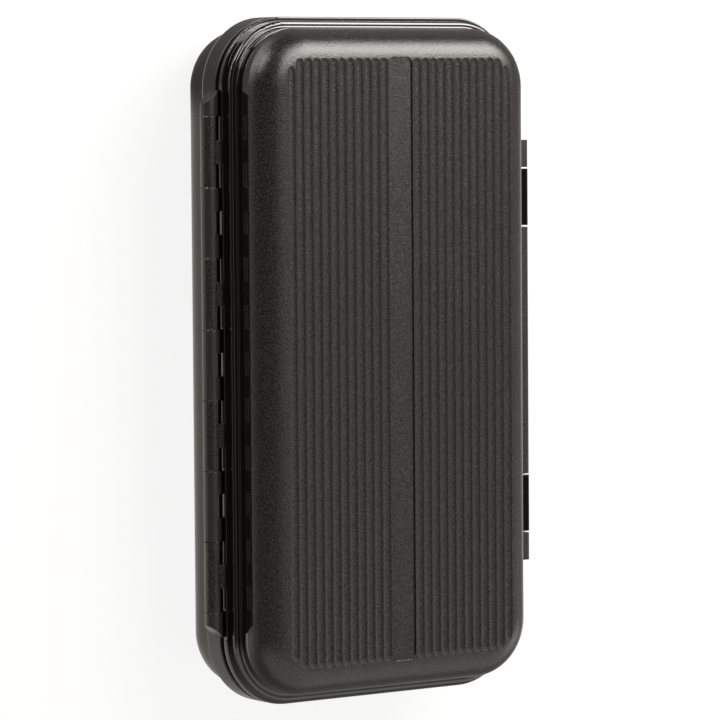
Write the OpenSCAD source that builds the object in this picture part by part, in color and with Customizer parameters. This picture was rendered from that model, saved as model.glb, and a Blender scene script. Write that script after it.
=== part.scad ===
// Waterproof fly box: two moulded half shells on a long side hinge, two swing latches,
// a seal in the base rim and a ridged foam liner in each half.
// The box lies flat. X is its width, with the hinge at -X and the latches at +X.
// Y is its length, Z points up through the lid face.
// The origin is the centre of the flat underside.

/* [Case] */
// Length of the closed case, along the hinge
case_l = 200; // [185:1:240]
// Width of the case over its flanges, without the hinge and the latches
case_w = 104.5; // [90:0.5:130]
// Height of the base, from its underside to the parting line
base_h = 25.5; // [22:0.5:35]
// Height of the lid, from the parting line to its top face
lid_h = 18; // [16:0.5:28]
// Outer corner radius of the flanges, seen from above
corner_r = 20.5; // [17:0.5:26]
// Radius of the soft shoulder round the lid face and round the underside
shoulder_r = 9.5; // [6:0.5:10]
// Wall thickness of both shells
wall = 2.2; // [1.8:0.1:2.6]

/* [Flanges] */
// How far the flanges stand out from the walls
flange_out = 3.3; // [2.8:0.1:4]
// Depth of the base flange below the parting line
base_flange_h = 7.5; // [6.5:0.1:9]
// Thickness of the base flange's outer skirt
skirt_t = 1.4; // [1.2:0.1:1.6]
// Thickness of the base flange's top web
web_t = 3; // [2.8:0.1:3.6]
// Height of the lid flange above the parting line
lid_flange_h = 5.2; // [4.6:0.1:6.5]
// Height of the lid's outer rim above the parting line
rim_h = 2.4; // [2:0.1:3]
// Width of the lid's outer rim, out to the edge from the raised step
rim_w = 1.25; // [1:0.05:1.5]
// Height of the shadow gap between the two flanges
seam_h = 1.6; // [1:0.1:1.8]
// Depth of the shadow gap
seam_d = 1.6; // [1:0.1:1.8]
// Clearance between the flat lands that meet inside the shadow gap
land_gap = 0.1; // [0.06:0.02:0.2]
// Radius on the outer edges of both flanges
edge_r = 0.35; // [0.2:0.05:0.5]
// Radius on the raised step of the lid flange
step_r = 0.9; // [0.5:0.1:1.2]
// Fillet at the foot of the lid wall
foot_r = 0.6; // [0.3:0.1:0.8]

/* [Lid face] */
// Number of scooped flutes on each side of the centre strip
flute_count = 12; // [8:1:12]
// Distance from one flute to the next
flute_pitch = 2.97; // [2.5:0.01:3]
// Width of one flute
flute_w = 2.85; // [2:0.05:2.9]
// Depth of the flutes and of the centre strip
flute_d = 0.45; // [0.3:0.05:0.6]
// Distance from the end of the case to the ends of the flutes
flute_end = 12; // [11:0.1:16]
// How much shorter the outermost flutes are at each end
flute_short = 2.3; // [1.5:0.1:3]
// Width of the flat centre strip
strip_w = 8.4; // [6:0.1:8.8]
// Distance from the end of the case to the ends of the centre strip
strip_end = 11.8; // [11:0.1:16]
// Chamfer on the corners of the centre strip
strip_c = 1.2; // [1:0.1:2.5]
// Depth of the relief in the lid wall beside the hinge
relief_d = 0.3; // [0.2:0.05:0.4]
// Distance from the middle of the case to the sloped end of the relief
relief_y = 77; // [65:1:77]

/* [Hinge] */
// Number of hinge knuckles, the odd ones on the lid
knuckle_count = 7; // [5:2:9]
// Length of one knuckle
knuckle_l = 20.4; // [14:0.1:20.4]
// Gap between neighbouring knuckles
knuckle_gap = 0.3; // [0.2:0.05:0.5]
// Radius of the hinge barrel
hinge_r = 2.5; // [2:0.05:2.5]
// Distance from the flange to the hinge axis
hinge_out = 2.8; // [2.8:0.05:3.3]
// Length of the solid cap at each end of the hinge, along the flange
cap_l = 7.8; // [7:0.1:8.4]
// Angle of the cap's sloped end
cap_slope = 37; // [25:1:45]
// Radius of the hinge pin
hinge_pin_r = 0.8; // [0.6:0.05:1]
// Radial clearance of both kinds of pin
pin_clear = 0.05; // [0.03:0.01:0.1]
// Depth of the pin's end in each cap
pin_in_cap = 2.6; // [2:0.1:3]
// Distance from the hinge axis to the opening of a knuckle
window_x = 0.3; // [0:0.05:0.8]
// Clear length of the lid rim's set-back past each end of a base knuckle
pocket_gap = 0.4; // [0.3:0.05:0.6]
// Depth of that set-back
pocket_d = 0.2; // [0.15:0.01:0.24]

/* [Latches] */
// Width of one latch
latch_w = 17; // [12:0.5:18]
// Length of the rail between the latches
rail_l = 74.6; // [60:0.2:80]
// Length of the guard block outside each latch
guard_l = 8.2; // [6:0.1:10]
// Gap on each side of a latch
latch_gap = 0.5; // [0.4:0.05:0.8]
// How far the rail and the guards stand out from the flange
rail_out = 5; // [4.8:0.1:6]
// How far the latches stand out beyond the rail
latch_proud = 0.3; // [0:0.05:0.4]
// Distance from the flange to the latch pin
latch_pin_out = 2.1; // [2.05:0.05:2.4]
// Height of the latch pin above the parting line
latch_pin_up = 2.8; // [2.7:0.1:3]
// Radius of the latch pin
latch_pin_r = 0.7; // [0.5:0.05:0.8]
// Depth of the latch pins' bores in the rail
latch_bore_d = 7; // [5:0.5:10]
// Distance from a guard's outer end in to the end of its latch pin
pin_recess = 0.6; // [0.3:0.1:1]
// Radius of the latch head about its pin
latch_head_r = 1.85; // [1.7:0.05:1.9]
// Thickness of the latch plate
latch_t = 1.9; // [1.6:0.1:2.1]
// How far the latch reaches below the parting line
latch_drop = 11; // [10.5:0.5:13]
// Radius of the catch ridge on the base
catch_r = 1.5; // [1.2:0.1:1.6]
// Depth of the catch ridge's centre line below the parting line
catch_z = 3.9; // [3.5:0.1:4.2]
// Clearance between the catch ridge and the latch tooth
catch_gap = 0.15; // [0.1:0.05:0.3]
// Height of the latch tooth
tooth_h = 1.6; // [1.2:0.1:1.8]
// Radius on the upper outer edge of the rail and the guards
rail_r = 1.9; // [1:0.1:2.2]
// Chamfer on the outer end corners of the rail and the guards, seen from above
lug_c = 0.4; // [0.2:0.1:0.8]
// Radius on the upper outer edge of the latches
latch_r = 1.5; // [1:0.1:1.7]

/* [Seal] */
// Distance from the flange edge to the seal groove
groove_u = 2.5; // [2.2:0.1:2.6]
// Width of the seal groove
groove_w = 2.2; // [1.8:0.1:2.3]
// Depth of the seal groove
groove_d = 1.9; // [1.6:0.1:2]
// Clearance between the seal and the sides of its groove
seal_gap = 0.1; // [0.05:0.01:0.15]
// Height of the seal in its groove
seal_h = 1.4; // [1:0.1:1.5]
// Width of the lid rib that presses on the seal
rib_w = 1.2; // [0.8:0.1:1.3]
// Clearance between the lid rib and the seal
rib_gap = 0.08; // [0.05:0.01:0.15]

/* [Foam] */
// Thickness of the foam liners over their ridges
foam_h = 9.5; // [8:0.5:11]
// Clearance between a liner and the walls
foam_gap = 0.4; // [0.3:0.1:1]
// Distance from one foam ridge to the next
ridge_pitch = 12; // [10:0.5:16]
// Width of the trough between two ridges
trough_w = 5; // [4:0.5:7]
// Depth of the trough
trough_d = 3.2; // [2:0.1:4]
// Distance from the end of the liner to its first trough
foam_end = 9; // [8:0.5:14]

/* [Hidden] */
$fn = 96;
// Overshoot of cutting shapes
eps = 0.01;
part_z = base_h;
top_z = base_h + lid_h;
side_x = case_w / 2;
end_y = case_l / 2;
// Radii of the profiles, out from the centre lines of the corners
wall_x = corner_r - flange_out;
inner_x = wall_x - wall;
inner_shoulder_r = shoulder_r - wall;
base_rim_z = part_z - seam_h / 2;
lid_rim_z = part_z + seam_h / 2;
base_land_z = part_z - land_gap / 2;
lid_land_z = part_z + land_gap / 2;
seal_z = base_land_z - groove_d;
rib_z = seal_z + seal_h + rib_gap;
rib_x = corner_r - groove_u - groove_w / 2;
hinge_x = -side_x - hinge_out;
hinge_half = knuckle_count * knuckle_l / 2;
latch_x = side_x + latch_pin_out;
latch_out = rail_out + latch_proud;
latch_z = part_z + latch_pin_up;
latch_y = rail_l / 2 + latch_gap + latch_w / 2;
guard_y = latch_y + latch_w / 2 + latch_gap;
catch_axis_z = part_z - catch_z;
floor_z = wall;
ceiling_z = top_z - wall;
// Radius of a flute's round scoop, from its width and depth
flute_r = (flute_w * flute_w / 4 + flute_d * flute_d) / (2 * flute_d);
flute_half = end_y - flute_end - flute_w / 2;
// Height of a solid knuckle's square side above the hinge axis
knuckle_up = 0.4 * hinge_r;

shell_color = [0.10, 0.095, 0.09];
latch_color = [0.03, 0.03, 0.032];
steel_color = [0.30, 0.30, 0.31];
seal_color = [0.06, 0.06, 0.06];
foam_color = [0.16, 0.16, 0.165];

// Profile of a plate from the centre line out to x1, with round outer corners
module bar(x1, z0, z1, top_r = 0, bottom_r = 0) {
    difference() {
        translate([0, z0]) square([x1, z1 - z0]);
        if (top_r > 0) translate([x1 - top_r, z1 - top_r]) corner_waste(top_r);
        if (bottom_r > 0) translate([x1 - bottom_r, z0 + bottom_r]) mirror([0, 1]) corner_waste(bottom_r);
    }
}

// What a round corner takes off a square one
module corner_waste(r) {
    difference() {
        square(r + 1);
        circle(r);
    }
}

// Profile of a rib from x0 out to x1
module strip(x0, x1, z0, z1) {
    translate([x0, z0]) square([x1 - x0, z1 - z0]);
}

// A profile carried all the way round the case: straight along each side, turned at each corner
module round_case(l = case_l, w = case_w, r = corner_r) {
    for (turn = [0, 180]) rotate(turn) {
        translate([w / 2 - r, 0, 0]) rotate([90, 0, 0])
            linear_extrude(l - 2 * r, center = true) children();
        rotate(90) translate([l / 2 - r, 0, 0]) rotate([90, 0, 0])
            linear_extrude(w - 2 * r, center = true) children();
        translate([w / 2 - r, l / 2 - r, 0]) rotate_extrude(angle = 90) children();
        translate([r - w / 2, l / 2 - r, 0]) rotate(90) rotate_extrude(angle = 90) children();
    }
}

// The flat middle that a carried profile leaves open
module middle(z0, z1) {
    translate([corner_r - side_x, corner_r - end_y, z0])
        cube([case_w - 2 * corner_r, case_l - 2 * corner_r, z1 - z0]);
}

module plan(l, w, r) {
    square([w - 2 * r, l], center = true);
    square([w, l - 2 * r], center = true);
    for (x = [r - w / 2, w / 2 - r], y = [r - l / 2, l / 2 - r]) translate([x, y]) circle(r);
}

// A profile in X and Z, drawn out along Y between two places
module along_y(y0, y1) {
    translate([0, y1, 0]) rotate([90, 0, 0]) linear_extrude(y1 - y0) children();
}

// Base shell

module base_profile() {
    difference() {
        union() {
            bar(wall_x, 0, base_rim_z, 0, shoulder_r);
            bar(corner_r, base_rim_z - web_t, base_rim_z, edge_r);
            strip(corner_r - skirt_t, corner_r, part_z - base_flange_h, base_rim_z - web_t);
            strip(wall_x - wall, corner_r - seam_d, base_rim_z, base_land_z);
        }
        bar(inner_x, floor_z, part_z, 0, inner_shoulder_r);
        strip(rib_x - groove_w / 2, rib_x + groove_w / 2, seal_z, part_z);
    }
}

module base_shell() {
    color(shell_color) difference() {
        union() {
            round_case() base_profile();
            middle(0, floor_z);
            for (k = [2:2:knuckle_count - 1]) base_knuckle(knuckle_start(k), knuckle_end(k));
            for (side = [0, 1]) mirror([0, side, 0]) hinge_cap();
            for (side = [-1, 1]) catch_ridge(side * latch_y);
        }
        hinge_bore(hinge_half + pin_in_cap);
    }
}

module catch_ridge(y) {
    along_y(y - latch_w / 2, y + latch_w / 2) intersection() {
        translate([side_x, catch_axis_z]) circle(catch_r);
        translate([side_x - skirt_t / 2, catch_axis_z - catch_r]) square([2 * catch_r, 2 * catch_r]);
    }
}

// Hinge

function knuckle_start(k) = -hinge_half + (k - 1) * knuckle_l + knuckle_gap / 2;
function knuckle_end(k) = -hinge_half + k * knuckle_l - knuckle_gap / 2;

module barrel(y0, y1) {
    along_y(y0, y1) translate([hinge_x, part_z]) circle(hinge_r);
}

// What opens one third of a knuckle on its side towards the case
module window(y0, y1) {
    translate([hinge_x + window_x, y0, part_z - hinge_r - eps])
        cube([hinge_out - window_x, y1 - y0, 2 * hinge_r + 2 * eps]);
}

module base_web(y0, y1) {
    translate([hinge_x, y0, part_z - hinge_r])
        cube([hinge_out + skirt_t / 2, y1 - y0, hinge_r - seam_h / 2]);
}

// Square side that fills out a solid knuckle towards the case
module knuckle_side(y0, y1) {
    translate([hinge_x, y0, part_z - seam_h]) cube([hinge_r, y1 - y0, seam_h + knuckle_up]);
}

module base_knuckle(y0, y1) {
    third = knuckle_l / 3;
    mid = (y0 + y1) / 2;
    difference() {
        union() {
            barrel(y0, y1);
            base_web(y0, y1);
            knuckle_side(y0, y1);
        }
        window(mid - third / 2, mid + third / 2);
    }
}

module lid_knuckle(y0, y1) {
    third = knuckle_l / 3;
    mid = (y0 + y1) / 2;
    difference() {
        union() {
            barrel(y0, y1);
            translate([hinge_x, mid - third / 2, part_z + seam_h / 2])
                cube([hinge_out + rim_w, third, rim_h - seam_h / 2]);
        }
        window(y0 - eps, mid - third / 2);
        window(mid + third / 2, y1 + eps);
    }
}

// Solid end of the hinge on the base, with its outer end sloped back to the flange
module hinge_cap() {
    cap_y = hinge_half + knuckle_gap / 2;
    difference() {
        union() {
            barrel(cap_y, hinge_half + cap_l);
            base_web(cap_y, hinge_half + cap_l);
            knuckle_side(cap_y, hinge_half + cap_l);
        }
        translate([-side_x, hinge_half + cap_l, part_z - 2 * hinge_r])
            rotate(cap_slope) translate([-4 * cap_l, 0, 0]) cube([4 * cap_l, 2 * cap_l, 4 * hinge_r]);
    }
}

module hinge_bore(half_l) {
    along_y(-half_l, half_l) translate([hinge_x, part_z]) circle(hinge_pin_r + pin_clear);
}

module hinge_pin() {
    color(steel_color) along_y(-hinge_half - pin_in_cap, hinge_half + pin_in_cap)
        translate([hinge_x, part_z]) circle(hinge_pin_r);
}

// Lid shell

module lid_profile() {
    difference() {
        union() {
            bar(corner_r, lid_rim_z, part_z + rim_h, edge_r, edge_r);
            bar(corner_r - rim_w, lid_rim_z, part_z + lid_flange_h, step_r);
            bar(wall_x, lid_rim_z, top_z, shoulder_r);
            translate([wall_x, part_z + lid_flange_h]) difference() {
                square(foot_r);
                translate([foot_r, foot_r]) circle(foot_r);
            }
            strip(inner_x, corner_r - seam_d, lid_land_z, lid_rim_z);
            strip(rib_x - rib_w / 2, rib_x + rib_w / 2, rib_z, lid_land_z);
        }
        bar(inner_x, rib_z, ceiling_z, inner_shoulder_r);
    }
}

module lid_shell() {
    color(shell_color) difference() {
        union() {
            difference() {
                union() {
                    round_case() lid_profile();
                    middle(ceiling_z, top_z);
                }
                lid_flutes();
                wall_relief();
                for (k = [2:2:knuckle_count - 1]) rim_pocket(knuckle_start(k), knuckle_end(k));
                for (side = [0, 1]) mirror([0, side, 0])
                    rim_pocket(hinge_half + knuckle_gap / 2, hinge_half + cap_l + pocket_gap);
                for (side = [-1, 1]) latch_bay(side * latch_y);
            }
            for (k = [1:2:knuckle_count]) lid_knuckle(knuckle_start(k), knuckle_end(k));
            latch_lug(-rail_l / 2, rail_l / 2);
            for (side = [0, 1]) mirror([0, side, 0]) latch_lug(guard_y, guard_y + guard_l);
        }
        hinge_bore(hinge_half + eps);
        for (side = [0, 1]) mirror([0, side, 0]) latch_bore();
    }
}

module flute(x, half) {
    translate([x, 0, top_z - flute_d + flute_r]) {
        rotate([90, 0, 0]) cylinder(h = 2 * half, r = flute_r, center = true);
        for (side = [-1, 1]) translate([0, side * half, 0]) sphere(flute_r);
    }
}

module lid_flutes() {
    for (side = [-1, 1], k = [0:flute_count - 1])
        flute(side * (k + 2) * flute_pitch, flute_half - (k == flute_count - 1 ? flute_short : 0));
    strip_x = strip_w / 2;
    strip_y = end_y - strip_end;
    translate([0, 0, top_z - flute_d]) linear_extrude(2 * flute_d) for (side = [0, 1]) rotate(180 * side)
        polygon([[-strip_x, 0], [strip_x, 0], [strip_x, strip_y - strip_c],
                 [strip_x - strip_c, strip_y], [strip_c - strip_x, strip_y], [-strip_x, strip_y - strip_c]]);
}

// Shallow cut that makes the lid wall taller and flatter beside the hinge.
// It has a sloped lower end and runs out round the upper corner.
module wall_relief() {
    cut_z = part_z + lid_flange_h + foot_r;
    far = 2 * corner_r;
    slope = 2;
    intersection() {
        translate([0, 0, cut_z]) linear_extrude(shoulder_r) difference() {
            translate([-side_x, -end_y]) square([corner_r + flange_out, case_l]);
            translate([relief_d, 0])
                plan(case_l - 2 * flange_out, case_w - 2 * flange_out, wall_x);
        }
        translate([-side_x, 0, 0]) rotate([90, 0, 90]) linear_extrude(far) polygon([
            [-relief_y, 0], [-relief_y, cut_z + shoulder_r / 4], [slope - relief_y, cut_z + shoulder_r / 2],
            [slope - relief_y, top_z], [end_y, top_z], [end_y, 0]
        ]);
    }
}

// Set-back in the lid rim that clears a part of the hinge on the base
module rim_pocket(y0, y1) {
    corner = 0.6;
    translate([-side_x, (y0 + y1) / 2, lid_rim_z - eps]) linear_extrude(rim_h)
        translate([pocket_d / 2 - corner, 0])
            plan(y1 - y0 + 2 * pocket_gap, pocket_d + 2 * corner, corner);
}

// Latches

module latch_lug(y0, y1) {
    x0 = side_x - 2 * rim_w;
    x1 = side_x + rail_out;
    intersection() {
        along_y(y0, y1) translate([side_x, 0]) difference() {
            translate([-rim_w, lid_rim_z]) square([rim_w + rail_out, lid_flange_h - seam_h / 2]);
            translate([rail_out - rail_r, part_z + lid_flange_h - rail_r]) corner_waste(rail_r);
            translate([rail_out - edge_r, lid_rim_z + edge_r]) mirror([0, 1]) corner_waste(edge_r);
        }
        translate([0, 0, part_z]) linear_extrude(2 * lid_flange_h) polygon([
            [x0, y0 - lug_c], [x1 - 2 * lug_c, y0 - lug_c], [x1 + lug_c, y0 + 2 * lug_c],
            [x1 + lug_c, y1 - 2 * lug_c], [x1 - 2 * lug_c, y1 + lug_c], [x0, y1 + lug_c]
        ]);
    }
}

// Room in the lid rim for the latch head
module latch_bay(y) {
    translate([side_x - rim_w, y - latch_w / 2 - latch_gap, lid_rim_z - eps])
        cube([rim_w + eps, latch_w + 2 * latch_gap, rim_h]);
}

module latch_bore() {
    along_y(rail_l / 2 - latch_bore_d, guard_y + guard_l + eps)
        translate([latch_x, latch_z]) circle(latch_pin_r + pin_clear);
}
module latch(y) {
    plate_x = latch_out - latch_t;
    tooth_x = catch_r + catch_gap;
    tooth_z = catch_axis_z - catch_r - catch_gap - tooth_h;
    tip_z = part_z - latch_drop;
    head_top = latch_z + latch_head_r;
    color(latch_color) difference() {
        along_y(y - latch_w / 2, y + latch_w / 2) difference() {
            union() {
                translate([latch_x, latch_z]) circle(latch_head_r);
                translate([side_x + plate_x, tip_z]) square([latch_t, head_top - tip_z]);
                translate([latch_x, latch_z]) square([latch_out - latch_pin_out, latch_head_r]);
                translate([latch_x, latch_z - latch_head_r])
                    square([latch_out - latch_pin_out, latch_head_r]);
                translate([side_x + tooth_x, tooth_z]) square([plate_x - tooth_x + eps, tooth_h]);
            }
            translate([side_x + latch_out - latch_r, head_top - latch_r]) corner_waste(latch_r);
            translate([side_x + latch_out - edge_r, tip_z + edge_r]) mirror([0, 1]) corner_waste(edge_r);
        }
        along_y(y - latch_w, y + latch_w)
            translate([latch_x, latch_z]) circle(latch_pin_r + pin_clear);
    }
}

module latch_pin() {
    color(steel_color) along_y(rail_l / 2 - latch_bore_d, guard_y + guard_l - pin_recess)
        translate([latch_x, latch_z]) circle(latch_pin_r);
}

module latch_upper() { latch(latch_y); }
module latch_lower() { latch(-latch_y); }
module latch_pin_upper() { latch_pin(); }
module latch_pin_lower() { mirror([0, 1, 0]) latch_pin(); }

// Seal

module gasket() {
    seal_w = groove_w - 2 * seal_gap;
    top_r = seal_w / 4;
    color(seal_color) round_case() difference() {
        strip(rib_x - seal_w / 2, rib_x + seal_w / 2, seal_z, seal_z + seal_h);
        translate([rib_x + seal_w / 2 - top_r, seal_z + seal_h - top_r]) corner_waste(top_r);
        translate([rib_x - seal_w / 2 + top_r, seal_z + seal_h - top_r]) mirror([1, 0]) corner_waste(top_r);
    }
}

// Foam liners, the same shape in both halves

module foam_liner() {
    block_x = inner_x - foam_gap;
    trough_from = foam_end - (case_l / 2 - flange_out - wall - foam_gap);
    troughs = floor(-2 * trough_from / ridge_pitch);
    first = -troughs * ridge_pitch / 2;
    difference() {
        union() {
            round_case() bar(block_x, 0, foam_h, 0, inner_shoulder_r - foam_gap);
            middle(0, foam_h);
        }
        for (k = [0:troughs]) translate([0, first + k * ridge_pitch, foam_h - trough_d + trough_w / 2])
            trough();
    }
}

module trough() {
    rotate([0, 90, 0]) cylinder(h = case_w, r = trough_w / 2, center = true);
    translate([-case_w / 2, -trough_w / 2, 0]) cube([case_w, trough_w, foam_h]);
}

module base_foam() {
    color(foam_color) translate([0, 0, floor_z]) foam_liner();
}

module lid_foam() {
    color(foam_color) translate([0, 0, ceiling_z]) mirror([0, 0, 1]) foam_liner();
}

base_shell();
lid_shell();
hinge_pin();
gasket();
latch_upper();
latch_lower();
latch_pin_upper();
latch_pin_lower();
base_foam();
lid_foam();
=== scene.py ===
# %% [markdown]
# # A waterproof fly box in black plastic
#
# The box lies on its flat underside with its lid shut. X is its width, with the hinge on the -X
# side and two swing latches on the +X side. Y is its length: here +Y is called the far end and
# -Y the near end. Z points up through the lid's face. The moulded halves, the latches and the
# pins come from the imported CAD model, and this script dresses them. It models the foam liners
# anew, because foam is soft and detailed in a way that the plain CAD solids are not.

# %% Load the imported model
import math

import bpy
from mathutils import Matrix, Vector


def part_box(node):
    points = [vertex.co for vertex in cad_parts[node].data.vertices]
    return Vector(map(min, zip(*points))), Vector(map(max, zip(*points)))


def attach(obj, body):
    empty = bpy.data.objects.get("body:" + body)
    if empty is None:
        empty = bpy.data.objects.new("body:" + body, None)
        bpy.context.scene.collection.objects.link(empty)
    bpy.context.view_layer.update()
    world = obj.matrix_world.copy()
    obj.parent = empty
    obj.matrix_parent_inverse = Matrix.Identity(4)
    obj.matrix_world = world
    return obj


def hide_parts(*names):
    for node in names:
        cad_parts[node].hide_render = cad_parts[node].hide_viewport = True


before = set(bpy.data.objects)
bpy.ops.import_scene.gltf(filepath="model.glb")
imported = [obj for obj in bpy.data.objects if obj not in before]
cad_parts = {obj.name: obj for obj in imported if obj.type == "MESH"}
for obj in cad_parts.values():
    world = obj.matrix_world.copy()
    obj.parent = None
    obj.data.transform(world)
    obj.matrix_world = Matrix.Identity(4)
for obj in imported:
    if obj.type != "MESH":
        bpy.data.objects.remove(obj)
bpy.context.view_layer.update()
bpy.ops.object.select_all(action="DESELECT")
scene = bpy.context.scene
MM = 0.001

# %% [markdown]
# ## Camera
#
# A product photographer shoots such a box with a long lens, so that its long sides stay almost
# parallel. The camera looks down at the lid from the hinge side and a little from the far end.
# Its place comes from three angles, a distance and a point that it looks at, which are easier
# to reason about than a matrix. Three directions at right angles follow from the angles: the
# way back to the camera, its right and its up.

# %% Camera directions
TURN, LIFT, ROLL = (math.radians(angle) for angle in (35.494, 3.546, -0.425))
ALONG_BOX = Vector((0, 1, 0))

backward = Vector((-math.sin(TURN) * math.cos(LIFT), math.sin(LIFT), math.cos(TURN) * math.cos(LIFT)))
level = ALONG_BOX.cross(backward).normalized()
upright = backward.cross(level)
camera_right = level * math.cos(ROLL) + upright * math.sin(ROLL)
camera_up = upright * math.cos(ROLL) - level * math.sin(ROLL)
print("the camera looks along", [round(-c, 3) for c in backward])

# %% Camera
CAMERA_DISTANCE = 1236.37 * MM
CAMERA_AIM = Vector((-4.276, -0.541, 28.1)) * MM
LENS_MM = 210.115
SENSOR_MM = 36

camera_data = bpy.data.cameras.new("camera")
camera_data.lens = LENS_MM
camera_data.sensor_fit = "HORIZONTAL"
camera_data.sensor_width = SENSOR_MM
camera = bpy.data.objects.new("camera", camera_data)
camera.matrix_world = Matrix((camera_right, camera_up, backward)).transposed().to_4x4()
camera.location = CAMERA_AIM + backward * CAMERA_DISTANCE
scene.collection.objects.link(camera)
scene.camera = camera
scene.view_settings.view_transform = "Standard"
print("camera at", [round(c, 3) for c in camera.location])

# %% [markdown]
# ## Writing shader maths as Python
#
# A node tree is a drawing of a formula, and a formula is shorter to write than to draw. The
# class Wire wraps one output socket and turns +, -, * and abs() into Math nodes. The class Board
# adds any node: it sets the node's own settings first, because some of them change its sockets,
# and then sets or links its inputs. A Finish is the board of one material.


# %% Wires
class Wire:
    """An output socket that can be used in Python arithmetic."""

    def __init__(self, board, socket):
        self.board, self.socket = board, socket

    def __add__(self, other):
        return self.board.maths("ADD", self, other)

    def __sub__(self, other):
        return self.board.maths("SUBTRACT", self, other)

    def __rsub__(self, other):
        return self.board.maths("SUBTRACT", other, self)

    def __mul__(self, other):
        return self.board.maths("MULTIPLY", self, other)

    def __abs__(self):
        return self.board.maths("ABSOLUTE", self)

    __radd__, __rmul__ = __add__, __mul__

    def at_least(self, other):
        """The larger of the two. For two masks, what either of them covers."""
        return self.board.maths("MAXIMUM", self, other)

    def root(self):
        """The square root."""
        return self.board.maths("SQRT", self)

    def ramp(self, start, end):
        """0 up to start, 1 from end on, and a smooth rise between them. End may be the lower one."""
        return self.board.node("ShaderNodeMapRange", {"interpolation_type": "SMOOTHSTEP"},
                               {"Value": self, "From Min": start, "From Max": end})


# %% Boards
# The Mix node for colours has them at inputs 6 and 7, and its result at output 2.
MIX_FIRST, MIX_SECOND, MIX_RESULT = 6, 7, 2


class Board:
    """A node tree that nodes are added to."""

    def __init__(self, tree):
        self.tree = tree

    def node(self, kind, settings=None, inputs=None, output=0):
        """Adds a node with these settings and inputs, and returns one of its outputs."""
        made = self.tree.nodes.new(kind)
        for name, value in (settings or {}).items():
            setattr(made, name, value)
        for name, value in (inputs or {}).items():
            if isinstance(value, Wire):
                self.tree.links.new(value.socket, made.inputs[name])
            else:
                made.inputs[name].default_value = value
        return Wire(self, made.outputs[output])

    def maths(self, operation, *values):
        return self.node("ShaderNodeMath", {"operation": operation}, dict(enumerate(values)))

    def object_place(self):
        """Where a point is on its object, in metres."""
        return self.node("ShaderNodeTexCoord", output="Object")

    def part_of(self, vector, axis):
        """The X, Y or Z part of a vector."""
        return self.node("ShaderNodeSeparateXYZ", {}, {"Vector": vector}, output=axis)

    def noise(self, place, grain, detail, roughness=0.5):
        """Noise between 0 and 1 whose lumps are about as wide as grain, in metres."""
        return self.node("ShaderNodeTexNoise", {}, {"Vector": place, "Scale": 1 / grain,
                                                    "Detail": detail, "Roughness": roughness})

    def blend(self, factor, first, second):
        """The first colour where factor is 0, and the second where it is 1."""
        return self.node("ShaderNodeMix", {"data_type": "RGBA"}, {
            "Factor": factor, MIX_FIRST: first, MIX_SECOND: second}, output=MIX_RESULT)


# %% Finishes
EDGE_SAMPLES = 6


class Finish(Board):
    """A material, with the surface shader's fixed values given at the start."""

    def __init__(self, name, **fixed):
        self.material = bpy.data.materials.new(name)
        self.material.use_nodes = True
        super().__init__(self.material.node_tree)
        self.surface = self.tree.nodes["Principled BSDF"]
        for socket, value in fixed.items():
            self.surface.inputs[socket.replace("_", " ")].default_value = value

    def drive(self, **wires):
        """Links what changes over the surface to the shader's sockets."""
        for socket, wire in wires.items():
            self.tree.links.new(wire.socket, self.surface.inputs[socket.replace("_", " ")])

    def soft_edges(self, radius):
        """Normals that turn over sharp CAD edges as if they were rounded."""
        return self.node("ShaderNodeBevel", {"samples": EDGE_SAMPLES}, {"Radius": radius})

    def bump(self, height, depth, normal=None):
        """Normals of a relief, on top of the surface's own or of those given."""
        inputs = {"Height": height, "Distance": depth}
        if normal is not None:
            inputs["Normal"] = normal
        return self.node("ShaderNodeBump", {}, inputs)


def dress(finish, *node_names):
    for name in node_names:
        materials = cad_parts[name].data.materials
        materials.clear()
        materials.append(finish.material)
    print("dressed", ", ".join(node_names), "in", finish.material.name)


# %% [markdown]
# ## Floor
#
# Black plastic shows little colour of its own, so nearly all that the eye reads is what it
# mirrors. The floor is a plain white sweep, and its material asks each ray what it is. A ray from
# the camera sees white. A mirrored one sees a glow with painted light and painted shade: warm white
# beside the box and a painted dimmer floor further out, with one brighter painted pool of light
# past the far hinge corner, whose reflection gives that corner its sheen. Some plain paper is
# mixed in for them and is all that other rays see, so the box still throws its shadow.

# %% Floor plane
FLOOR_SIZE = 8
FLOOR_Z = -0.1 * MM

bpy.ops.mesh.primitive_plane_add(size=FLOOR_SIZE, location=(0, 0, FLOOR_Z))
floor = bpy.context.object
floor.name = "floor"
print("the floor is", round(-FLOOR_Z / MM, 2), "mm under the box, so that it doesn't cut its underside")

# %% Floor as the box mirrors it
# The mirrored floor's glow is painted: lit white beside the box and painted shade further out.
PAINTED_LIT_FLOOR = (1.0, 0.93, 0.86, 1)
PAINTED_DIM_FLOOR = (0.16, 0.15, 0.14, 1)
# A painted pool of light in the mirrored floor, which the far hinge corner reflects as a sheen.
PAINTED_POOL = (5.0, 4.75, 4.5, 1)
PAINTED_POOL_PLACE = (-150 * MM, 190 * MM, 0)
PAINTED_POOL_EDGE = (120 * MM, 50 * MM)
DIM_PAST_SIDES = (80 * MM, 200 * MM)
DIM_PAST_FAR_END = (68 * MM, 82 * MM)
DIM_PAST_NEAR_END = (-90 * MM, -130 * MM)

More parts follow.
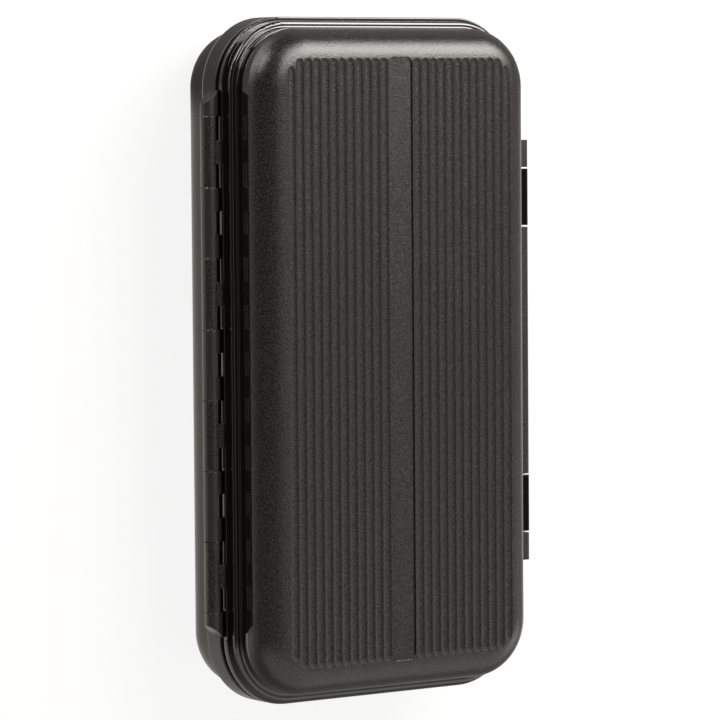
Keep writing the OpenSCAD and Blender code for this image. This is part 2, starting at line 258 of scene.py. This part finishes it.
floor_material = bpy.data.materials.new("white_sweep")
floor_material.use_nodes = True
sweep = Board(floor_material.node_tree)
sweep.tree.nodes.clear()
spot = sweep.object_place()
across, along = sweep.part_of(spot, "X"), sweep.part_of(spot, "Y")
# Painted shade: the mirrored floor's glow dims past the box's sides and ends.
past_ends = along.ramp(*DIM_PAST_FAR_END).at_least(along.ramp(*DIM_PAST_NEAR_END))
painted_dimming = abs(across).ramp(*DIM_PAST_SIDES).at_least(past_ends)
# Painted light: a glowing pool that only mirrored rays see, past the far hinge corner.
from_painted_pool = sweep.node("ShaderNodeVectorMath", {"operation": "DISTANCE"}, {0: spot, 1: PAINTED_POOL_PLACE},
                       output="Value")
painted_mirrored_floor = sweep.blend(from_painted_pool.ramp(*PAINTED_POOL_EDGE), sweep.blend(painted_dimming, PAINTED_LIT_FLOOR, PAINTED_DIM_FLOOR), PAINTED_POOL)
print("the mirrored floor dims from", round(DIM_PAST_SIDES[0] / MM), "mm beside the box's middle")

# %% Floor as each kind of ray sees it
WHITE = (1, 1, 1, 1)
PAPER = (0.78, 0.78, 0.78, 1)
FLOOR_LIFT = 0.88

seen, mirrored, through = (sweep.node("ShaderNodeLightPath", output=kind)
                           for kind in ("Is Camera Ray", "Is Glossy Ray", "Is Transmission Ray"))
paper = sweep.node("ShaderNodeBsdfDiffuse", {}, {"Color": PAPER})
glow = sweep.node("ShaderNodeEmission", {}, {"Color": sweep.blend(mirrored, WHITE, painted_mirrored_floor),
                                             "Strength": 1.0})
floor_surface = sweep.node("ShaderNodeMixShader", {}, {
    0: (seen + mirrored + through) * FLOOR_LIFT, 1: paper, 2: glow})
floor_output = sweep.tree.nodes.new("ShaderNodeOutputMaterial")
sweep.tree.links.new(floor_surface.socket, floor_output.inputs["Surface"])
floor.data.materials.append(floor_material)
print("white_sweep has", len(sweep.tree.nodes), "nodes")

# %% [markdown]
# ## Room
#
# The world stands for the studio's walls. Polished plastic mirrors them as broad soft tones, so
# they are pale, brightest past the near end, and unlit in two places: on the camera's side, where
# a photographer hangs black cloth, and beyond the far end. The edges between them are wide ramps
# on the direction, whose parts run from -1 to 1.

# %% Pale room with two dark sides
ROOM = (0.50, 0.47, 0.44, 1)
NEAR_WALL = (1.10, 1.03, 0.97, 1)
UNLIT = (0.05, 0.047, 0.045, 1)
NEAR_WALL_FROM = (-0.1, -0.6)
FAR_WALL_FROM = (0.02, 0.3)
CAMERA_SIDE_UNTIL = (-0.35, 0.15)
CAMERA_SIDE_FROM_NEAR = (-0.45, -0.12)

scene.world = bpy.data.worlds.new("studio")
scene.world.use_nodes = True
room = Board(scene.world.node_tree)
direction = room.node("ShaderNodeTexCoord", output="Generated")
to_latches, to_far_end = room.part_of(direction, "X"), room.part_of(direction, "Y")
camera_side = (1 - to_latches.ramp(*CAMERA_SIDE_UNTIL)) * to_far_end.ramp(*CAMERA_SIDE_FROM_NEAR)
dark_sides = to_far_end.ramp(*FAR_WALL_FROM).at_least(camera_side)
pale_walls = room.blend(to_far_end.ramp(*NEAR_WALL_FROM), ROOM, NEAR_WALL)
room_colour = room.blend(dark_sides, pale_walls, UNLIT)
room.tree.links.new(room_colour.socket, room.tree.nodes["Background"].inputs["Color"])
print("the room has", len(room.tree.nodes), "nodes")

# %% [markdown]
# ## Soft boxes
#
# A large soft box over the far end gives the bright band on the lid's shoulder. A smaller one
# beside it and a low one past the hinge side light the far hinge corner, and a small low one
# past the near corner lights the near end of the latch side. Their power follows from their
# radiance and size, so that a lamp can grow without getting brighter in a reflection.

# %% Lamps
LAMP_COLOUR = (1.0, 0.96, 0.91)
# Name, direction from the middle of the lid, distance, width and length in metres, radiance
LAMPS = (("far_end_box", (0.573, 0.57, 0.62), 1.1, 0.62, 0.72, 13),
         ("far_end_fill", (0.10, 0.58, 0.78), 1.1, 0.36, 0.76, 8),
         ("low_hinge_box", (-0.66, 0.74, 0.11), 1.0, 0.50, 0.24, 9),
         ("near_corner_box", (0.90, -0.36, 0.22), 1.2, 0.3, 0.4, 2))

for name, toward, distance, width, length, radiance in LAMPS:
    data = bpy.data.lights.new(name, "AREA")
    data.shape = "RECTANGLE"
    data.size, data.size_y = width, length
    data.color = LAMP_COLOUR
    data.energy = radiance * math.pi * width * length
    lamp = bpy.data.objects.new(name, data)
    lamp.location = CAMERA_AIM + Vector(toward).normalized() * distance
    lamp.rotation_euler = (CAMERA_AIM - lamp.location).to_track_quat("-Z", "Y").to_euler()
    scene.collection.objects.link(lamp)
    print(name, "shines with", round(data.energy, 1), "W")

# %% [markdown]
# ## Lid: polished and grained plastic
#
# The lid is injection moulded ABS. Where the mould was polished, on the walls and the stepped
# flange, it is glossy and nearly black. Where the mould was spark eroded, on the face, the
# shoulder, the hinge, the rail and the guards, a fine pitted grain spreads a lamp's reflection
# and looks dark grey. Both are one material, because one moulding has both: a mask picks the
# grain by height and by how far the surface leans, and a clear coat stands for the deeper shine
# of the polished parts. A moulding has no knife edges, so the normals are rounded over the CAD's
# edges.

# %% Where the lid is grained
GRAINED_HEIGHT = (34.05 * MM, 34.2 * MM)
GRAINED_LEAN = (0.03, 0.08)
FLANGE_X = 52.25 * MM
BEYOND_FLANGE = (FLANGE_X + 0.05 * MM, FLANGE_X + 0.35 * MM)


def beyond_flange(board, place):
    """1 on what stands out beyond the flanges: the hinge, the rail and the guards."""
    return abs(board.part_of(place, "X")).ramp(*BEYOND_FLANGE)


lid_plastic = Finish("lid_plastic", IOR=1.5, Coat_Roughness=0.06)
place = lid_plastic.object_place()
facing = lid_plastic.node("ShaderNodeTexCoord", output="Normal")
face = (lid_plastic.part_of(place, "Z").ramp(*GRAINED_HEIGHT)
        * lid_plastic.part_of(facing, "Z").ramp(*GRAINED_LEAN))
satin = face.at_least(beyond_flange(lid_plastic, place))
print("the lid's grain starts", round(GRAINED_HEIGHT[0] / MM, 2), "mm up")

# %% [markdown]
# ## Grain
#
# The grain is two noises, one for the pits and one for wider specks, and both the colour and the
# relief follow the pits: the pits are painted darker, a painted shade of the grain's relief. The
# flutes' ends, where the cutter ran out, are duller, and their colour is painted darker as painted
# shade in the flutes' deep ends. They are found without measuring: there the normal leans back
# towards the middle of the box, so the product of a point's Y and its normal's Y is below 0.

# %% Lid plastic
POLISHED_BLACK = (0.004, 0.0036, 0.0033, 1)
# The pits' colour is a painted shade of the grain's relief.
PIT_SHADE_BLACK = (0.002, 0.0019, 0.0018, 1)
GRAIN_GREY = (0.026, 0.0242, 0.0227, 1)
PIT_SIZE, SPECK_SIZE = 0.42 * MM, 0.8 * MM
PEEL_SIZE, PEEL_DEPTH = 3.5 * MM, 0.012 * MM
GRAIN_DEPTH = 0.07 * MM
HANDLING_SIZE = 26 * MM
# Where the flutes' ends are rougher and painted darker, as painted shade.
RUN_OUT_AND_SHADE = (-4 * MM, -12 * MM)
PIT_SHADE_LEVEL, PIT_SHADE_CONTRAST = 0.38, 4
SPECK_SHARE = 0.5
COAT = 0.8
LID_EDGE_R = 0.2 * MM
POLISHED_ROUGHNESS, GRAIN_ROUGHNESS, RUN_OUT_ROUGHNESS = 0.11, 0.08, 0.5
SPECK_ROUGHNESS, HANDLING_ROUGHNESS = 0.08, 0.04

pits = lid_plastic.noise(place, PIT_SIZE, detail=3, roughness=0.65)
specks = lid_plastic.noise(place, SPECK_SIZE, detail=1)
handling = lid_plastic.noise(place, HANDLING_SIZE, detail=3)
peel = lid_plastic.noise(place, PEEL_SIZE, detail=1)
leaning_back = (lid_plastic.part_of(place, "Y") * lid_plastic.part_of(facing, "Y")).ramp(*RUN_OUT_AND_SHADE)
run_out_and_shade = leaning_back * satin
# Painted shade: the pits, which the relief below sinks, are painted darker than the peaks.
grain = lid_plastic.blend((pits - PIT_SHADE_LEVEL) * PIT_SHADE_CONTRAST, PIT_SHADE_BLACK, GRAIN_GREY)
# Painted shade: the flutes' ends take the polished black in place of the grey grain.
colour = lid_plastic.blend(satin * (1 - run_out_and_shade), POLISHED_BLACK, grain)
polished = lid_plastic.bump(peel, PEEL_DEPTH, normal=lid_plastic.soft_edges(LID_EDGE_R))
grained = lid_plastic.bump((pits + specks * SPECK_SHARE) * satin, GRAIN_DEPTH, normal=polished)
roughness = (satin * (GRAIN_ROUGHNESS + specks * SPECK_ROUGHNESS) + run_out_and_shade * RUN_OUT_ROUGHNESS
             + POLISHED_ROUGHNESS + handling * HANDLING_ROUGHNESS)
lid_plastic.drive(Base_Color=colour, Normal=grained, Coat_Weight=(1 - satin) * COAT,
                  Roughness=roughness)
dress(lid_plastic, "lid_shell")

# %% [markdown]
# ## Base: semi-gloss plastic with a painted highlight on its edge
#
# The base is moulded of the same plastic in a mould that was neither polished nor eroded, so it
# is evenly semi-gloss and a little warm. The lower edge of its flange is painted pale in patches,
# a painted highlight that stands in for the gleam of its rounded edge. That highlight could be
# painted on a texture, but a band of heights is simpler, cut to the flange's outer face by the
# distance from the rounded corners' centres.

# %% Where the base's flange has its painted highlight
FLANGE_Y = 100 * MM
FLANGE_CORNER_R = 20.5 * MM
FLANGE_DEPTH = (FLANGE_CORNER_R - 2 * MM, FLANGE_CORNER_R - 1 * MM)
SKIRT_Z = 18 * MM
GLEAM_FROM = (SKIRT_Z - 0.02 * MM, SKIRT_Z)
GLEAM_UNTIL = (SKIRT_Z + 0.45 * MM, SKIRT_Z + 0.25 * MM)


def on_flange(board, place):
    """1 on the outer face of the flanges and 0 on the walls further in, at the corners too."""
    past_x, past_y = ((abs(board.part_of(place, axis)) - (flange - FLANGE_CORNER_R)).at_least(0)
                      for axis, flange in (("X", FLANGE_X), ("Y", FLANGE_Y)))
    return (past_x * past_x + past_y * past_y).root().ramp(*FLANGE_DEPTH)


base_plastic = Finish("base_plastic", IOR=1.5)
place = base_plastic.object_place()
height = base_plastic.part_of(place, "Z")
# The band of the painted highlight along the flange's lower edge.
skirt_gleam = height.ramp(*GLEAM_FROM) * height.ramp(*GLEAM_UNTIL) * on_flange(base_plastic, place)
print("the base's flange is rubbed around", round(SKIRT_Z / MM, 2), "mm up")

# %% Base plastic
BASE_BLACK = (0.018, 0.0158, 0.0140, 1)
# A painted highlight along the flange's lower edge, pale in patches.
PAINTED_GLEAM_GREY = (0.22, 0.21, 0.20, 1)
GLEAM_PATCHES = (0.25, 0.6)
BASE_GRAIN_SIZE, BASE_GRAIN_DEPTH = 0.5 * MM, 0.012 * MM
BASE_PEEL_SIZE, BASE_PEEL_SHARE = 4 * MM, 0.6
BASE_HANDLING_SIZE = 30 * MM
BASE_EDGE_R = 0.45 * MM
BASE_ROUGHNESS, KNUCKLE_ROUGHNESS, BASE_HANDLING_ROUGHNESS = 0.22, 0.06, 0.08

grain = base_plastic.noise(place, BASE_GRAIN_SIZE, detail=2)
handling = base_plastic.noise(place, BASE_HANDLING_SIZE, detail=3)
peel = base_plastic.noise(place, BASE_PEEL_SIZE, detail=1)
skin = base_plastic.bump(grain + peel * BASE_PEEL_SHARE, BASE_GRAIN_DEPTH,
                         normal=base_plastic.soft_edges(BASE_EDGE_R))
# Painted highlight: a pale band along the flange's lower edge, broken into patches.
colour = base_plastic.blend(skirt_gleam * handling.ramp(*GLEAM_PATCHES), BASE_BLACK, PAINTED_GLEAM_GREY)
roughness = (beyond_flange(base_plastic, place) * KNUCKLE_ROUGHNESS + BASE_ROUGHNESS
             + handling * BASE_HANDLING_ROUGHNESS)
base_plastic.drive(Base_Color=colour, Normal=skin, Roughness=roughness)
dress(base_plastic, "base_shell")

# %% [markdown]
# ## Latches: near-black acetal
#
# The latches are acetal, which is slippery and tough, and the blackest plastic of the box. Their
# colour is almost nothing, so the low specular level matters more: it keeps them darker than the
# ABS round them even where they mirror a lamp.

# %% Latch plastic
LATCH_BLACK = (0.001, 0.001, 0.0011, 1)
LATCH_PEEL_SIZE, LATCH_PEEL_DEPTH = 3 * MM, 0.012 * MM
LATCH_WEAR_SIZE = 9 * MM
LATCH_EDGE_R = 0.3 * MM
LATCH_ROUGHNESS, LATCH_WEAR_ROUGHNESS = 0.09, 0.08

latch_plastic = Finish("latch_plastic", Base_Color=LATCH_BLACK, IOR=1.48, Specular_IOR_Level=0.12)
place = latch_plastic.object_place()
peel = latch_plastic.noise(place, LATCH_PEEL_SIZE, detail=1)
wear = latch_plastic.noise(place, LATCH_WEAR_SIZE, detail=3)
skin = latch_plastic.bump(peel, LATCH_PEEL_DEPTH, normal=latch_plastic.soft_edges(LATCH_EDGE_R))
latch_plastic.drive(Normal=skin, Roughness=LATCH_ROUGHNESS + wear * LATCH_WEAR_ROUGHNESS)
dress(latch_plastic, "latch_upper", "latch_lower")

# %% [markdown]
# ## Pins: drawn wire
#
# The hinge pin and the latch pins are cut from stainless wire. A drawing die leaves faint
# scratches along the wire, so the noise is stretched along Y: the Mapping node shrinks its Y to
# a few hundredths.

# %% Pin steel
STEEL = (0.52, 0.51, 0.50, 1)
ALONG_WIRE = (1, 0.03, 1)
SCRATCH_SIZE, SCRATCH_DEPTH = 0.12 * MM, 0.01 * MM
STEEL_ROUGHNESS, SCRATCH_ROUGHNESS = 0.2, 0.18

pin_steel = Finish("pin_steel", Base_Color=STEEL, Metallic=1.0)
place = pin_steel.node("ShaderNodeMapping", {}, {"Vector": pin_steel.object_place(), "Scale": ALONG_WIRE})
scratches = pin_steel.noise(place, SCRATCH_SIZE, detail=2)
pin_steel.drive(Normal=pin_steel.bump(scratches, SCRATCH_DEPTH),
                Roughness=STEEL_ROUGHNESS + scratches * SCRATCH_ROUGHNESS)
dress(pin_steel, "hinge_pin", "latch_pin_upper", "latch_pin_lower")

# %% [markdown]
# ## Seal: chalky silicone
#
# The seal is a matte black silicone cord in the base's rim. Silicone picks up dust, so it gets
# a slightly chalky colour and a fine relief from one noise.

# %% Seal rubber
SILICONE_BLACK, SILICONE_CHALK = (0.016, 0.016, 0.017, 1), (0.03, 0.03, 0.032, 1)
CHALK_SIZE, CHALK_DEPTH = 0.3 * MM, 0.02 * MM
SILICONE_ROUGHNESS, CHALK_ROUGHNESS = 0.6, 0.2

seal_rubber = Finish("seal_rubber")
chalk = seal_rubber.noise(seal_rubber.object_place(), CHALK_SIZE, detail=3)
seal_rubber.drive(Base_Color=seal_rubber.blend(chalk, SILICONE_BLACK, SILICONE_CHALK),
                  Normal=seal_rubber.bump(chalk, CHALK_DEPTH),
                  Roughness=SILICONE_ROUGHNESS + chalk * CHALK_ROUGHNESS)
dress(seal_rubber, "gasket")

# %% [markdown]
# ## Foam liners
#
# Each half is lined with closed-cell foam, moulded into cross ridges. Every ridge has a slit
# along its crown that grips the hooks. The foam holds its moulded shape, so nothing has to be
# simulated: a liner is modelled as a block that follows the shell's inside, with its corners and
# its deep edge rounded. One trough and one slit are modelled once, copied along the liner, and
# taken out of the block with a Boolean each. A small bevel then softens every lip, as foam never
# has sharp ones.


# %% Helpers for pieces
def only(piece):
    """Makes one object the only one that is selected and active."""
    bpy.ops.object.select_all(action="DESELECT")
    piece.select_set(True)
    bpy.context.view_layer.objects.active = piece


def block(name, low, high):
    """A cube that fills the space between two corners, with its place in its mesh."""
    bpy.ops.mesh.primitive_cube_add(size=1, location=[(a + b) / 2 for a, b in zip(low, high)],
                                    scale=[b - a for a, b in zip(low, high)])
    made = bpy.context.object
    made.name = name
    bpy.ops.object.transform_apply(location=True, rotation=True, scale=True)
    return made


def finish_modifier(piece, kind, **settings):
    """Adds a modifier with these settings and applies it at once."""
    only(piece)
    modifier = piece.modifiers.new(kind.title(), kind)
    for name, value in settings.items():
        setattr(modifier, name, value)
    bpy.ops.object.modifier_apply(modifier=modifier.name)


# %% Rounding chosen edges
HAIR = 0.01 * MM


def upright_edge(a, b):
    return abs(a.z - b.z) > MM


def level_edge(height):
    """A test for edges that lie at this height."""
    return lambda a, b: abs(a.z - height) < HAIR and abs(b.z - height) < HAIR


def round_edges(piece, chosen, radius, segments):
    """Bevels the edges whose two ends pass the test called chosen."""
    only(piece)
    bpy.ops.object.mode_set(mode="EDIT")
    bpy.ops.mesh.select_mode(type="EDGE")
    bpy.ops.mesh.select_all(action="DESELECT")
    bpy.ops.object.mode_set(mode="OBJECT")
    points = piece.data.vertices
    for edge in piece.data.edges:
        edge.select = chosen(points[edge.vertices[0]].co, points[edge.vertices[1]].co)
    bpy.ops.object.mode_set(mode="EDIT")
    bpy.ops.mesh.bevel(offset=radius, segments=segments, affect="EDGES")
    bpy.ops.object.mode_set(mode="OBJECT")


# %% Copying and cutting
def row_along_y(piece, places):
    """Copies a piece to these places along Y and joins the copies with it."""
    row = [piece]
    for y in places[1:]:
        only(piece)
        bpy.ops.object.duplicate(linked=False)
        bpy.ops.transform.translate(value=(0, y - places[0], 0))
        row.append(bpy.context.object)
    only(piece)
    for copy in row:
        copy.select_set(True)
    bpy.ops.object.join()
    return piece


def cut_away(piece, cutter):
    """Takes a cutter out of a piece and deletes the cutter."""
    finish_modifier(piece, "BOOLEAN", operation="DIFFERENCE", object=cutter, solver="EXACT")
    bpy.data.objects.remove(cutter)


# %% [markdown]
# ## What the foam looks like
#
# Closed-cell foam is matte and full of cells about half a millimetre wide. A Voronoi texture
# paints every cell dark in its middle and light at its edge, a painted shade in the pits that the
# same texture sinks into the relief, and a slow noise keeps it from looking even.

# %% Foam finish
FOAM_DARK, FOAM_LIGHT = (0.034, 0.035, 0.037, 1), (0.075, 0.077, 0.081, 1)
CELL_SIZE, CELL_DEPTH = 0.45 * MM, 0.08 * MM
CLOUD_SIZE = 6 * MM
CELL_SHADE_SHARE, CLOUD_TINT, CLOUD_RELIEF = 0.7, 0.4, 0.6
FOAM_ROUGHNESS, CLOUD_ROUGHNESS = 0.82, 0.12

liner_foam = Finish("liner_foam", Specular_IOR_Level=0.25)
place = liner_foam.object_place()
cells = liner_foam.node("ShaderNodeTexVoronoi", {}, {"Vector": place, "Scale": 1 / CELL_SIZE})
cloud = liner_foam.noise(place, CLOUD_SIZE, detail=4)
# Painted shade: each cell's sunken middle is painted darker than its raised edge.
colour = liner_foam.blend(cells * CELL_SHADE_SHARE + cloud * CLOUD_TINT, FOAM_DARK, FOAM_LIGHT)
liner_foam.drive(Base_Color=colour, Normal=liner_foam.bump(cells + cloud * CLOUD_RELIEF, CELL_DEPTH),
                 Roughness=FOAM_ROUGHNESS + cloud * CLOUD_ROUGHNESS)
print("liner_foam has cells of", round(CELL_SIZE / MM, 2), "mm")

# %% [markdown]
# ## Shaping the liners
#
# Both liners come from one function, because they differ only in size and in the way that they
# face. The ridges are spread from the middle, as many as fit between the rounded ends.

# %% Places of the ridges
RIDGE_PITCH = 12 * MM
END_MARGIN = 9 * MM


def ridge_places(length):
    """The places along Y of the troughs and, between them, of the ridges' crests."""
    ridges = math.floor((length - 2 * END_MARGIN) / RIDGE_PITCH)
    valleys = [(k - ridges / 2) * RIDGE_PITCH for k in range(ridges + 1)]
    return valleys, [y + RIDGE_PITCH / 2 for y in valleys[:-1]]


# %% Troughs
TROUGH_W, TROUGH_D = 5 * MM, 3.2 * MM
TROUGH_ROUNDING, TROUGH_STEPS = 0.49, 5


def troughs(low, high, crown, open_side, places):
    """Bars with round bottoms, to cut the troughs between the ridges."""
    bar = block("trough", (low.x - MM, places[0] - TROUGH_W / 2, crown - TROUGH_D),
                (high.x + MM, places[0] + TROUGH_W / 2, crown + TROUGH_D))
    at_bottom = level_edge(crown - open_side * TROUGH_D)
    round_edges(bar, lambda a, b: at_bottom(a, b) and abs(a.x - b.x) > MM,
                TROUGH_W * TROUGH_ROUNDING, TROUGH_STEPS)
    return row_along_y(bar, places)


# %% Slits
SLIT_W, SLIT_D = 0.45 * MM, 4.5 * MM
SLIT_MARGIN = 5 * MM


def slits(low, high, crown, places):
    """Thin bars, to cut the slits in the ridges' crests."""
    bar = block("slit", (low.x + SLIT_MARGIN, places[0] - SLIT_W / 2, crown - SLIT_D),
                (high.x - SLIT_MARGIN, places[0] + SLIT_W / 2, crown + SLIT_D))
    return row_along_y(bar, places)


# %% Liner
CORNER_R, CORNER_STEPS = 14.6 * MM, 10
DEEP_EDGE_R, DEEP_EDGE_STEPS = 6.8 * MM, 6
LIP_R, LIP_STEPS, LIP_ANGLE = 0.6 * MM, 3, math.radians(40)
SMOOTH_ANGLE = math.radians(35)


def liner(name, low, high, open_side):
    """A foam liner between two corners. open_side is 1 where it is open upwards, -1 downwards."""
    deep, crown = (low.z, high.z) if open_side > 0 else (high.z, low.z)
    valleys, crests = ridge_places(high.y - low.y)
    piece = block(name, low, high)
    round_edges(piece, upright_edge, CORNER_R, CORNER_STEPS)
    round_edges(piece, level_edge(deep), DEEP_EDGE_R, DEEP_EDGE_STEPS)
    cut_away(piece, troughs(low, high, crown, open_side, valleys))
    cut_away(piece, slits(low, high, crown, crests))
    finish_modifier(piece, "BEVEL", width=LIP_R, segments=LIP_STEPS, limit_method="ANGLE",
                    angle_limit=LIP_ANGLE, harden_normals=False)
    only(piece)
    bpy.ops.object.shade_smooth_by_angle(angle=SMOOTH_ANGLE)
    piece.data.materials.append(liner_foam.material)
    print(name, "has", len(crests), "slit ridges and", len(piece.data.polygons), "faces")
    return piece


# %% Line both halves
for name, node, body, open_side in (("base_liner", "base_foam", "base", 1),
                                    ("lid_liner", "lid_foam", "lid", -1)):
    piece = liner(name, *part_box(node), open_side)
    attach(piece, body)
    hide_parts(node)
